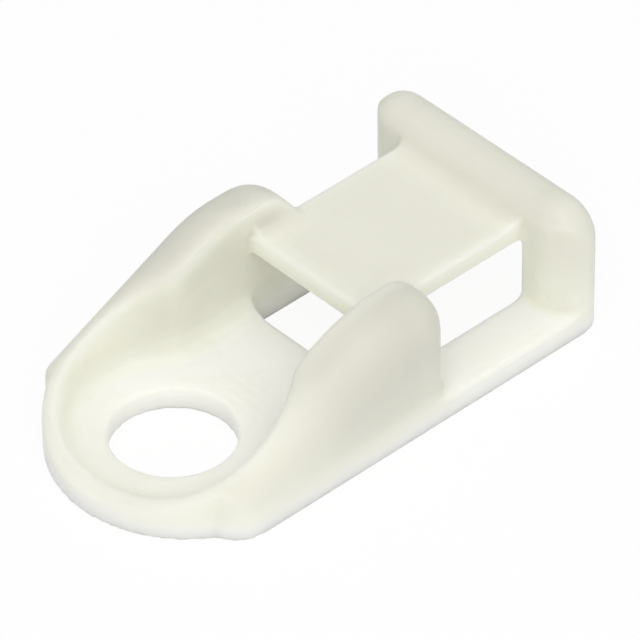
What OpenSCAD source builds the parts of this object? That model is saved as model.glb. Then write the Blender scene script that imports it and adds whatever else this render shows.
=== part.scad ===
// Screw-fixed cradle mount for a cable tie: one moulded piece of natural nylon.
// The origin is the screw hole's axis on the underside, +X runs to the end wall,
// and the bundle lies across the saddle, along Y, between the cheeks and the end wall.

/* [Foot plate] */
// Width over the long sides
base_w = 11.8; // [11.4:0.1:13]
// Thickness of the foot plate
plate_t = 1.05; // [0.8:0.05:1.5]
// How much less than half the width the round nose's radius is
nose_inset = 0.2; // [0.1:0.05:0.4]
// Centre of the round nose, measured from the screw hole
nose_x = 0.85; // [0.5:0.05:1]
// Where the straight sides start in front of the screw hole
side_start = 2.2; // [1.6:0.1:2.4]
// Corner radius at the start of the straight sides
side_r = 1.5; // [0.6:0.1:1.7]
// Distance from the screw hole to the far end
far_x = 17.5; // [17:0.1:20]
// Fillet where cheeks and end wall stand on the foot plate
foot_fillet = 0.4; // [0.2:0.05:0.6]

/* [Screw seat] */
// Diameter of the screw hole
hole_d = 5.1; // [4.2:0.1:5.4]
// Radius of the seat for the screw head and washer
seat_r = 4.65; // [4.3:0.05:4.8]
// Fillet between the seat's floor and its wall
seat_fillet = 1.2; // [0.5:0.1:1.3]
// Rounding of the cheeks where the round seat runs into the channel
seat_blend = 1.4; // [0.6:0.1:1.8]

/* [Cheeks] */
// Height of the two cheeks beside the tie channel
cheek_h = 5.95; // [5.5:0.05:6.5]
// Rear face of the cheeks, measured from the screw hole
cheek_rear = 9.6; // [9:0.05:10.5]
// How far the sloping top lies below the cheeks' top, above the screw hole's centre
slope_drop = 2.7; // [2.4:0.05:2.8]
// Slope of the top from the nose up to the cheeks
slope_a = 25; // [22:0.5:27]
// Bend radius between the sloping top and the level top
bend_r = 5.5; // [3:0.1:6]
// Rounding of the cheeks' outer, top and rear edges
cheek_r = 1.65; // [1:0.05:1.9]

/* [Tie channel] */
// Width of the channel under the saddle
channel_w = 6.8; // [5.5:0.1:7]
// Start of the open channel behind the screw seat
channel_x = 7.15; // [6.8:0.05:7.4]
// Height of the saddle's top face
saddle_h = 4.8; // [4.4:0.05:4.9]
// Thickness of the saddle
saddle_t = 0.85; // [0.7:0.05:1.2]
// Fillet where the cheeks run into the saddle
saddle_fillet = 0.8; // [0.4:0.1:1]
// Rounding of the saddle's edge over the open channel
lip_r = 0.2; // [0.1:0.05:0.4]

/* [End wall] */
// Height of the end wall
wall_h = 5.95; // [5.8:0.05:6.8]
// Thickness of the end wall
wall_t = 2.1; // [2:0.1:2.4]
// Rounding of the wall's top edge towards the saddle
wall_front_r = 1.1; // [0.6:0.05:1.1]
// Rounding of the wall's upright edges towards the saddle
wall_end_r = 1.75; // [1.1:0.05:1.8]
// Rounding of the wall's edges on its outer face
wall_back_r = 0.85; // [0.4:0.05:0.85]
// Rounding of the wall's two upper corners, seen from the front
wall_corner_r = 1.6; // [1.2:0.1:2.2]
// Cove between the saddle and the wall
cove_r = 0.9; // [0.5:0.1:1]

/* [Hidden] */
$fn = 96;
over = 1;
half_w = base_w / 2;
// How far the cove overlaps the rounding of the wall that it runs into
cove_lap = 0.01;
half_c = channel_w / 2;
nose_r = half_w - nose_inset;
wall_x = far_x - wall_t;
under_h = saddle_h - saddle_t;
slope_h = cheek_h - slope_drop;
// Where the level top begins: the bend's tangent point beyond the two tops' meeting line
top_x = slope_drop / tan(slope_a) + bend_r * tan(slope_a / 2);

// Strip of width w that runs on along +X from two round corners at X = 0
module strip(length, w, r) {
    translate([r, -w / 2]) square([length - r, w]);
    translate([0, -w / 2 + r]) square([length, w - 2 * r]);
    for (side = [-1, 1]) translate([r, side * (w / 2 - r)]) circle(r);
}

// Rectangle with round corners: radius r0 at its start and r1 at its end along X
module round_rect(x0, x1, w, r0, r1) {
    intersection() {
        translate([x0, 0]) strip(x1 - x0 + 2 * r0, w, r0);
        translate([x1, 0]) mirror([1, 0]) strip(x1 - x0 + 2 * r1, w, r1);
    }
}

// Cross-section from the ground up to height h, with round upper corners
module arch(w, h, r) {
    translate([-w / 2, 0]) square([w, h - r]);
    translate([-w / 2 + r, 0]) square([w - 2 * r, h]);
    for (side = [-1, 1]) translate([side * (w / 2 - r), h - r]) circle(r);
}

// Prism along X with an arch-topped cross-section
module arch_bar(x0, x1, w, h, r) {
    translate([x0, 0, 0]) rotate([90, 0, 90]) linear_extrude(x1 - x0) arch(w, h, r);
}

// Prism along Y, of width w about the middle, from a side view drawn in X and Z
module side_prism(w) {
    translate([0, w / 2, 0]) rotate([90, 0, 0]) linear_extrude(w) children();
}

// Side view of what fills a square corner at the origin with a concave fillet
module corner_fill(r) {
    difference() {
        square(r);
        translate([r, r]) circle(r);
    }
}

module nose_outline() {
    translate([nose_x, 0]) circle(nose_r);
}

// Outline of the foot plate; the front block covers its start at the screw hole
module foot_outline() {
    nose_outline();
    round_rect(0, far_x, base_w, over / 2, wall_back_r);
}

// Outside of the front block: sloping top, bend and level top share one edge rounding
module front_form() {
    rotate([0, -slope_a, 0]) translate([slope_h * sin(slope_a), 0, slope_h * cos(slope_a)])
        front_slope();
    translate([top_x, half_w, cheek_h - bend_r]) rotate([90, 0, 0]) bend_quarter();
    arch_bar(top_x, cheek_rear - cheek_r, base_w, cheek_h, cheek_r);
    cheek_end();
}

// Sloping part, drawn level with its top at zero and the bend's end on its X axis
module front_slope() {
    run = slope_drop / sin(slope_a) - bend_r * tan(slope_a / 2);
    translate([0, 0, -2 * cheek_h]) arch_bar(-3 * nose_r, run, base_w, 2 * cheek_h, cheek_r);
}

// Quarter disc across the whole width, its rims rounded like the cheeks' edges
module bend_quarter() {
    rotate([0, 0, 90]) rotate_extrude(angle = 90) {
        square([bend_r - cheek_r, base_w]);
        translate([0, cheek_r]) square([bend_r, base_w - 2 * cheek_r]);
        for (z = [cheek_r, base_w - cheek_r]) translate([bend_r - cheek_r, z]) circle(cheek_r);
    }
}

// Rear end of the two cheeks, with a ball at each outer upper corner
module cheek_end() {
    x = cheek_rear - cheek_r;
    z = cheek_h - cheek_r;
    linear_extrude(z) round_rect(top_x, cheek_rear, base_w, over / 2, cheek_r);
    translate([x, 0, z]) {
        side_prism(base_w - 2 * cheek_r) quarter_disc(cheek_r);
        for (side = [-1, 1]) translate([0, side * (half_w - cheek_r), 0])
            rotate([0, 90, 0]) rotate_extrude() quarter_disc(cheek_r);
    }
}

module quarter_disc(r) {
    intersection() {
        circle(r);
        square(r);
    }
}

// Solid front block under the sloping top, before the seat and channel are cut
module front_block() {
    intersection() {
        linear_extrude(cheek_h + over) {
            nose_outline();
            round_rect(-side_start, cheek_rear + over, base_w, side_r, over / 2);
        }
        front_form();
    }
}

// Round seat for the screw head, with a filleted floor
module screw_seat() {
    translate([0, 0, plate_t]) rotate_extrude() {
        square([seat_r - seat_fillet, cheek_h]);
        translate([0, seat_fillet]) square([seat_r, cheek_h]);
        translate([seat_r - seat_fillet, seat_fillet]) circle(seat_fillet);
    }
}

// Cutter that rounds one cheek's corner between the seat and the channel
module seat_blend_cut() {
    y = half_c + seat_blend;
    x = sqrt(pow(seat_r + seat_blend, 2) - y * y);
    translate([0, 0, plate_t]) intersection() {
        linear_extrude(cheek_h) polygon([[0, 0], [x, 0], [x, y]]);
        translate([x, y, 0]) rotate_extrude() post_clearance();
    }
}

// Side view of the room round a post of the blend's radius that has a filleted foot
module post_clearance() {
    r = seat_blend + seat_fillet;
    translate([r, 0]) square([seat_r, cheek_h]);
    translate([seat_blend, seat_fillet]) square([seat_r, cheek_h]);
    translate([r, seat_fillet]) circle(seat_fillet);
}

// Open way along X with round lower corners
module open_way(x0, x1, z0, r) {
    translate([x0, 0, z0]) rotate([90, 0, 90]) linear_extrude(x1 - x0) {
        translate([-half_c + r, 0]) square([channel_w - 2 * r, cheek_h + over]);
        translate([-half_c, r]) square([channel_w, cheek_h + over]);
        for (side = [-1, 1]) translate([side * (half_c - r), r]) circle(r);
    }
}

// Saddle behind the cheeks, with the cove that carries it up into the wall
module saddle() {
    side_prism(channel_w) {
        translate([cheek_rear - cheek_r, under_h])
            square([wall_x + wall_front_r - cheek_rear + cheek_r, saddle_t]);
        wall_cove();
    }
}

// Side view of the cove, which meets the wall's upper edge rounding where the two run alike
module wall_cove() {
    reach = cove_r + wall_front_r;
    drop = max(0, saddle_h + reach - wall_h);
    x = wall_x + wall_front_r - sqrt(reach * reach - drop * drop) + cove_lap;
    h = cove_r * (1 - drop / reach);
    translate([x, saddle_h]) difference() {
        square([wall_x + wall_front_r - x, h]);
        translate([0, cove_r]) circle(cove_r);
    }
}

// Cutter that rounds the saddle's edge over the open channel
module lip_cut() {
    side_prism(channel_w) translate([channel_x, saddle_h]) difference() {
        translate([-over, -lip_r]) square([over + lip_r, lip_r + over]);
        translate([lip_r, -lip_r]) circle(lip_r);
    }
}

// End wall: its top edges keep their rounding round the two upper corners
module end_wall() {
    intersection() {
        union() {
            translate([wall_x, -half_w, 0]) cube([wall_t, base_w, wall_h - wall_corner_r]);
            side_prism(base_w - 2 * wall_corner_r) wall_section(wall_h);
            for (side = [-1, 1])
                translate([0, side * (half_w - wall_corner_r), wall_h - wall_corner_r])
                    rotate([0, -90, 0]) rotate_extrude() rotate(-90) wall_section(wall_corner_r);
        }
        linear_extrude(wall_h) round_rect(wall_x, far_x, base_w, wall_end_r, wall_back_r);
    }
}

// The wall's side view up to height h, with its two round upper edges
module wall_section(h) {
    intersection() {
        translate([wall_x, 0]) square([wall_t, h]);
        round_rect(wall_x, far_x, 2 * h, wall_front_r, wall_back_r);
    }
}

// Fillet at the foot of an upright face at X = 0, round its vertical edges of radius r
module foot_cove(r) {
    side_prism(base_w - 2 * r) corner_fill(foot_fillet);
    for (side = [-1, 1])
        translate([-r, side * (half_w - r), 0]) rotate([0, 0, 45 * side - 45])
            rotate_extrude(angle = 90) translate([r, 0]) corner_fill(foot_fillet);
}

// Fillets on the side flanges, behind the cheeks and in front of the end wall
module foot_coves() {
    intersection() {
        linear_extrude(cheek_h) foot_outline();
        union() {
            translate([cheek_rear, 0, plate_t]) foot_cove(cheek_r);
            translate([wall_x, 0, plate_t]) mirror([1, 0, 0]) foot_cove(wall_end_r);
        }
    }
}

module tie_mount() {
    color([0.93, 0.93, 0.87]) difference() {
        union() {
            linear_extrude(plate_t) foot_outline();
            front_block();
            saddle();
            end_wall();
            foot_coves();
        }
        screw_seat();
        seat_blend_cut();
        mirror([0, 1, 0]) seat_blend_cut();
        open_way(0, channel_x, plate_t, seat_fillet);
        open_way(channel_x - over, cheek_rear + over, saddle_h, saddle_fillet);
        lip_cut();
        translate([channel_x, -half_c, -over])
            cube([far_x - channel_x + over, channel_w, under_h + over]);
        translate([0, 0, -over]) cylinder(h = plate_t + 2 * over, d = hole_d);
    }
}

tie_mount();
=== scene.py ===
"""Looks of the cable tie mount: one moulded piece of natural nylon on a pale studio floor."""

import math

import bpy
from mathutils import Matrix, Vector
from mathutils.bvhtree import BVHTree


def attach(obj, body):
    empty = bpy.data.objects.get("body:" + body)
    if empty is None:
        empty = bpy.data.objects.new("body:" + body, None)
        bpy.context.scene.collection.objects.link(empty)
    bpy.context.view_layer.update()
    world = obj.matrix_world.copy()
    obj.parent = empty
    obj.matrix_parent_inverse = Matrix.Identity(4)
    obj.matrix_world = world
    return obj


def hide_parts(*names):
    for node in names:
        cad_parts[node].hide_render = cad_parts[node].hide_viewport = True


MM = 0.001

# Camera: the way it looks, in degrees, what it is aimed at and how far off it is
VIEW_AZIMUTH = 42.5
VIEW_ELEVATION = 40.3
VIEW_ROLL = -0.6
VIEW_AIM = Vector((6.43, -1.45, 3.85)) * MM
VIEW_DISTANCE = 280.4 * MM
LENS = 407.5
SENSOR = 36
CLIP = (0.01, 10)

# Studio: even white surroundings, and a soft box overhead and one in front, in metres. A level
# of 1 from one of them alone makes a white sheet that faces it render about white.
WORLD_LEVEL = 0.55
TOP_LEVEL = 0.2
FRONT_LEVEL = 0.47
FRONT_AZIMUTH = 35.0
FRONT_ELEVATION = 48.0
BOX_DISTANCE = 0.3
BOX_SIZE = 0.3

# Floor: its size and place, its colour, and the share of the object's shadow that shows
FLOOR_SIZE = 2.0
FLOOR_DROP = 0.02 * MM
FLOOR_GREY = 0.95
FLOOR_SHADOW = 0.1

# Soft moulded edges: voxel size in mm, and rounds of smoothing all over and on the cheeks' rims
VOXEL = 0.1
SMOOTHING = 0.5
EDGE_ROUNDS = 8
RIM_ROUNDS = 40

# Where the rims are, in mm: they start over RIM_LOW, are whole over RIM_HIGH, and end at RIM_REAR
# and at the saddle, which lies behind SADDLE_FRONT and inside CHANNEL_HALF
RIM_LOW = 1.3
RIM_HIGH = 2.2
RIM_REAR = 9.8
RIM_FADE = 0.4
SADDLE_FRONT = 6.6
CHANNEL_HALF = 3.42

# Rays from each point start SKIN mm off the surface; a spread of 1 is a whole half sphere
SKIN = 0.02

# Glow, painted light that stands for light coming through the nylon: how far it reaches, in mm,
# and how much comes from the underside, lower than GROUND mm, and from the other surfaces
REACH = 1.5
INWARD_RAYS = 14
INWARD_SPREAD = 0.85
GROUND = 0.06
GROUND_SHARE = 1.0
SIDE_SHARE = 0.45

# Shelter, painted bounce light from the part's own surfaces and from the floor: the floor's falls
# off with distance, over FLOOR_REACH mm
OUTWARD_RAYS = 20
OUTWARD_SPREAD = 0.98
OWN_SHARE = 0.6
FLOOR_SHARE = 2.1
FLOOR_REACH = 4.0

# Natural nylon's grey-yellow, with painted light and shade: deeper where it is thick and stands
# free, nearly white where it is thin, low or sheltered. The steps turn glow into a level from 0,
# deep, to 1, pale.
DEEP_COLOUR = (0.63, 0.62, 0.54, 1)
PALE_COLOUR = (0.97, 0.97, 0.875, 1)
GLOW_STEPS = ((0.0, 0.10), (0.05, 0.20), (0.10, 0.40), (0.22, 0.54), (0.45, 0.88))
PAINTED_BOUNCE_GAIN = 0.75

# Cloudiness from the flow of the melt, scattering, gloss and mould grain. Noise is given as its
# scale, over a metre, and its detail.
CLOUD = 0.05
CLOUD_NOISE = (320, 3)
IOR = 1.53
SCATTER_RADIUS = (1.0, 1.0, 1.0)
SCATTER_SCALE = 0.8 * MM
ROUGHNESS = (0.44, 0.6)
ROUGHNESS_NOISE = (900, 2)
GRAIN_STRENGTH = 0.35
GRAIN_DEPTH = 0.01 * MM
GRAIN_NOISE = (6000, 2)

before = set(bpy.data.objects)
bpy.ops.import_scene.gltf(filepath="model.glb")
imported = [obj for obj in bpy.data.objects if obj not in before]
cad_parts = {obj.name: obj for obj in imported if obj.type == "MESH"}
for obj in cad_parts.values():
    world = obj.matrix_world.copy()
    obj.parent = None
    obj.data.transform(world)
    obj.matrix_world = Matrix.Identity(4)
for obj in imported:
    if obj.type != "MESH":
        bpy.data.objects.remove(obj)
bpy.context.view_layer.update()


def soft_step(value, low, high):
    """0 up to low, 1 from high, and smooth between them."""
    t = min(max((value - low) / (high - low), 0.0), 1.0)
    return t * t * (3 - 2 * t)


def rim_weight(point):
    """1 on the cheeks' upper rims, 0 on the foot plate, the saddle and the end wall."""
    if point.x > SADDLE_FRONT and abs(point.y) < CHANNEL_HALF:
        return 0.0
    rear = soft_step(point.x, RIM_REAR - RIM_FADE, RIM_REAR)
    return soft_step(point.z, RIM_LOW, RIM_HIGH) * (1 - rear)


def applied(piece):
    """The piece's mesh with its modifiers applied; they are taken off the piece."""
    evaluated = piece.evaluated_get(bpy.context.evaluated_depsgraph_get())
    mesh = bpy.data.meshes.new_from_object(evaluated)
    old = piece.data
    piece.modifiers.clear()
    piece.data = mesh
    bpy.data.meshes.remove(old)
    return mesh


def smooth(piece, rounds, group=None):
    modifier = piece.modifiers.new("smooth", "SMOOTH")
    modifier.factor = SMOOTHING
    modifier.iterations = rounds
    if group:
        modifier.vertex_group = group


def moulded_body(node):
    """The CAD node's form with every edge softened, as a mould leaves it. Worked on in mm."""
    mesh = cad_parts[node].data.copy()
    mesh.transform(Matrix.Scale(1 / MM, 4))
    mesh.materials.clear()
    piece = bpy.data.objects.new("moulded_body", mesh)
    bpy.context.scene.collection.objects.link(piece)
    voxels = piece.modifiers.new("voxels", "REMESH")
    voxels.mode = "VOXEL"
    voxels.voxel_size = VOXEL
    mesh = applied(piece)
    rims = piece.vertex_groups.new(name="rims")
    for vertex in mesh.vertices:
        weight = rim_weight(vertex.co)
        if weight > 0:
            rims.add([vertex.index], weight, "REPLACE")
    smooth(piece, RIM_ROUNDS, "rims")
    smooth(piece, EDGE_ROUNDS)
    mesh = applied(piece)
    piece.vertex_groups.clear()
    store_light(mesh)
    mesh.transform(Matrix.Scale(MM, 4))
    for polygon in mesh.polygons:
        polygon.use_smooth = True
    return piece


def even_rays(count, spread):
    """Even directions about +Z, the first straight up."""
    turn = math.pi * (3 - math.sqrt(5))
    rays = []
    for i in range(count):
        lean = spread * math.sqrt(i / count)
        height = math.sqrt(1 - lean * lean)
        x, y = lean * math.cos(i * turn), lean * math.sin(i * turn)
        rays.append(Vector((x, y, height)))
    return rays


def glow_at(tree, point, normal, rays):
    """Share of the light that reaches a point through the nylon, to be painted into the colour.
    """
    turned = (-normal).to_track_quat("Z", "Y")
    start = point - normal * SKIN
    total = 0.0
    for ray in rays:
        hit, _, _, distance = tree.ray_cast(start, turned @ ray)
        if hit is not None:
            share = GROUND_SHARE if hit.z < GROUND else SIDE_SHARE
            total += share * math.exp(-distance / REACH)
    return total / len(rays)


def bounce_light_at(tree, point, normal, rays):
    """Share of the light that a point gets from the part's own surfaces and from the floor, to be
    painted into the colour as bounce light.
    """
    turned = normal.to_track_quat("Z", "Y")
    start = point + normal * SKIN
    total = 0.0
    for ray in rays:
        ray = turned @ ray
        if tree.ray_cast(start, ray)[0] is not None:
            total += OWN_SHARE
        elif ray.z < 0:
            total += FLOOR_SHARE * math.exp(max(start.z, 0.0) / ray.z / FLOOR_REACH)
    return total / len(rays)


def store_light(mesh):
    """Store glow and shelter, light to be painted into the colour, on every point of the mesh."""
    points = [v.co for v in mesh.vertices]
    tree = BVHTree.FromPolygons(points, [p.vertices for p in mesh.polygons])
    inward = even_rays(INWARD_RAYS, INWARD_SPREAD)
    outward = even_rays(OUTWARD_RAYS, OUTWARD_SPREAD)
    for name, share_at, rays in (("glow", glow_at, inward), ("bounce_light", bounce_light_at, outward)):
        shares = [share_at(tree, v.co, v.normal, rays) for v in mesh.vertices]
        layer = mesh.attributes.new(name, "FLOAT", "POINT")
        layer.data.foreach_set("value", shares)


def node_input(node, name, value):
    """Set a node's input to a value that is the same all over."""
    node.inputs[name].default_value = value


def noise(tree, place, scale, detail):
    """Noise from 0 to 1 at a place on the object."""
    node = tree.nodes.new("ShaderNodeTexNoise")
    node_input(node, "Scale", scale)
    node_input(node, "Detail", detail)
    tree.links.new(place, node.inputs["Vector"])
    return node.outputs["Fac"]


def remap(tree, value, low, high):
    """A value from 0 to 1, spread from low to high."""
    node = tree.nodes.new("ShaderNodeMapRange")
    node_input(node, "To Min", low)
    node_input(node, "To Max", high)
    tree.links.new(value, node.inputs["Value"])
    return node.outputs["Result"]


def stored(tree, name):
    """A value stored on the mesh."""
    node = tree.nodes.new("ShaderNodeAttribute")
    node.attribute_name = name
    return node.outputs["Fac"]


def math_node(tree, operation, first, second):
    """What a Math node gives for two sockets or numbers."""
    node = tree.nodes.new("ShaderNodeMath")
    node.operation = operation
    for socket, value in zip(node.inputs, (first, second)):
        if isinstance(value, (int, float)):
            socket.default_value = value
        else:
            tree.links.new(value, socket)
    return node.outputs[0]


def natural_nylon():
    """Milky, slightly yellow nylon: light goes well into it and comes out again near by. Its
    colour has light and shade painted in.
    """
    material = bpy.data.materials.new("natural_nylon")
    material.use_nodes = True
    tree = material.node_tree
    nodes, links = tree.nodes, tree.links
    shader = nodes["Principled BSDF"]
    node_input(shader, "IOR", IOR)
    node_input(shader, "Subsurface Weight", 1.0)
    node_input(shader, "Subsurface Radius", SCATTER_RADIUS)
    node_input(shader, "Subsurface Scale", SCATTER_SCALE)
    place = nodes.new("ShaderNodeTexCoord").outputs["Object"]

    # colour: painted light and shade from glow and shelter, with faint cloudiness
    curve = nodes.new("ShaderNodeFloatCurve")
    points = curve.mapping.curves[0].points
    while len(points) < len(GLOW_STEPS):
        points.new(0.5, 0.5)
    for point, step in zip(points, GLOW_STEPS):
        point.location = step
    curve.mapping.update()
    links.new(stored(tree, "glow"), curve.inputs["Value"])
    # painted bounce light: sheltered and low places are made paler
    painted_bounce = math_node(tree, "MULTIPLY", stored(tree, "bounce_light"), PAINTED_BOUNCE_GAIN)
    level = math_node(tree, "ADD", curve.outputs[0], painted_bounce)
    cloud = remap(tree, noise(tree, place, *CLOUD_NOISE), -CLOUD, CLOUD)
    level = math_node(tree, "ADD", level, cloud)
    colour = nodes.new("ShaderNodeValToRGB")
    colour.color_ramp.elements[0].color = DEEP_COLOUR
    colour.color_ramp.elements[1].color = PALE_COLOUR
    links.new(level, colour.inputs["Fac"])
    links.new(colour.outputs["Color"], shader.inputs["Base Color"])

    # surface: a fine spark-eroded mould grain, duller in places
    dull = remap(tree, noise(tree, place, *ROUGHNESS_NOISE), *ROUGHNESS)
    links.new(dull, shader.inputs["Roughness"])
    grain = nodes.new("ShaderNodeBump")
    node_input(grain, "Strength", GRAIN_STRENGTH)
    node_input(grain, "Distance", GRAIN_DEPTH)
    links.new(noise(tree, place, *GRAIN_NOISE), grain.inputs["Height"])
    links.new(grain.outputs["Normal"], shader.inputs["Normal"])
    return material


def floor():
    """White floor, which the camera and reflections see as white with a faint shadow."""
    bpy.ops.mesh.primitive_plane_add(size=FLOOR_SIZE, location=(0, 0, -FLOOR_DROP))
    plane = bpy.context.object
    plane.name = "floor"
    material = bpy.data.materials.new("white_floor")
    material.use_nodes = True
    tree = material.node_tree
    nodes, links = tree.nodes, tree.links
    shader = nodes["Principled BSDF"]
    node_input(shader, "Base Color", (FLOOR_GREY, FLOOR_GREY, FLOOR_GREY, 1))
    node_input(shader, "Roughness", 1.0)
    node_input(shader, "Specular IOR Level", 0.0)
    white = nodes.new("ShaderNodeEmission")
    path = nodes.new("ShaderNodeLightPath")
    mix = nodes.new("ShaderNodeMixShader")
    seen = path.outputs["Is Camera Ray"]
    for kind in ("Is Glossy Ray", "Is Transmission Ray"):
        seen = math_node(tree, "MAXIMUM", path.outputs[kind], seen)
    share = math_node(tree, "MULTIPLY", seen, 1 - FLOOR_SHADOW)
    links.new(share, mix.inputs["Fac"])
    links.new(shader.outputs[0], mix.inputs[1])
    links.new(white.outputs[0], mix.inputs[2])
    links.new(mix.outputs[0], nodes["Material Output"].inputs["Surface"])
    plane.data.materials.append(material)


def studio():
    """Even white surroundings and the two soft boxes."""
    sky = bpy.data.worlds.new("studio")
    bpy.context.scene.world = sky
    sky.use_nodes = True
    background = sky.node_tree.nodes["Background"]
    node_input(background, "Color", (1, 1, 1, 1))
    node_input(background, "Strength", WORLD_LEVEL)
    soft_box("top_box", TOP_LEVEL, Vector((0, 0, -1)))
    soft_box("front_box", FRONT_LEVEL, sight(FRONT_AZIMUTH, FRONT_ELEVATION))


def soft_box(name, level, forward):
    """A square light that shines along forward onto the mount."""
    data = bpy.data.lights.new(name, "AREA")
    data.shape = "SQUARE"
    data.size = BOX_SIZE
    data.energy = level * (math.pi * BOX_DISTANCE) ** 2
    box = bpy.data.objects.new(name, data)
    bpy.context.scene.collection.objects.link(box)
    box.location = VIEW_AIM - forward * BOX_DISTANCE
    box.rotation_mode = "QUATERNION"
    box.rotation_quaternion = forward.to_track_quat("-Z", "Y")


def sight(azimuth, elevation):
    """The way a camera or lamp at this azimuth and elevation, in degrees, faces."""
    azimuth, elevation = math.radians(azimuth), math.radians(elevation)
    level = math.cos(elevation)
    x, y = math.sin(azimuth) * level, math.cos(azimuth) * level
    return Vector((x, y, -math.sin(elevation)))


def camera():
    """The photograph's camera: a long lens, far off."""
    forward = sight(VIEW_AZIMUTH, VIEW_ELEVATION)
    data = bpy.data.cameras.new("camera")
    data.lens = LENS
    data.sensor_width = SENSOR
    data.clip_start, data.clip_end = CLIP
    eye = bpy.data.objects.new("camera", data)
    bpy.context.scene.collection.objects.link(eye)
    eye.location = VIEW_AIM - forward * VIEW_DISTANCE
    eye.rotation_mode = "QUATERNION"
    roll = Matrix.Rotation(math.radians(VIEW_ROLL), 3, "Z").to_quaternion()
    eye.rotation_quaternion = forward.to_track_quat("-Z", "Y") @ roll
    bpy.context.scene.camera = eye


body = moulded_body("tie_mount")
body.data.materials.append(natural_nylon())
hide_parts("tie_mount")
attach(body, "root")
floor()
studio()
camera()
bpy.context.scene.view_settings.view_transform = "Standard"
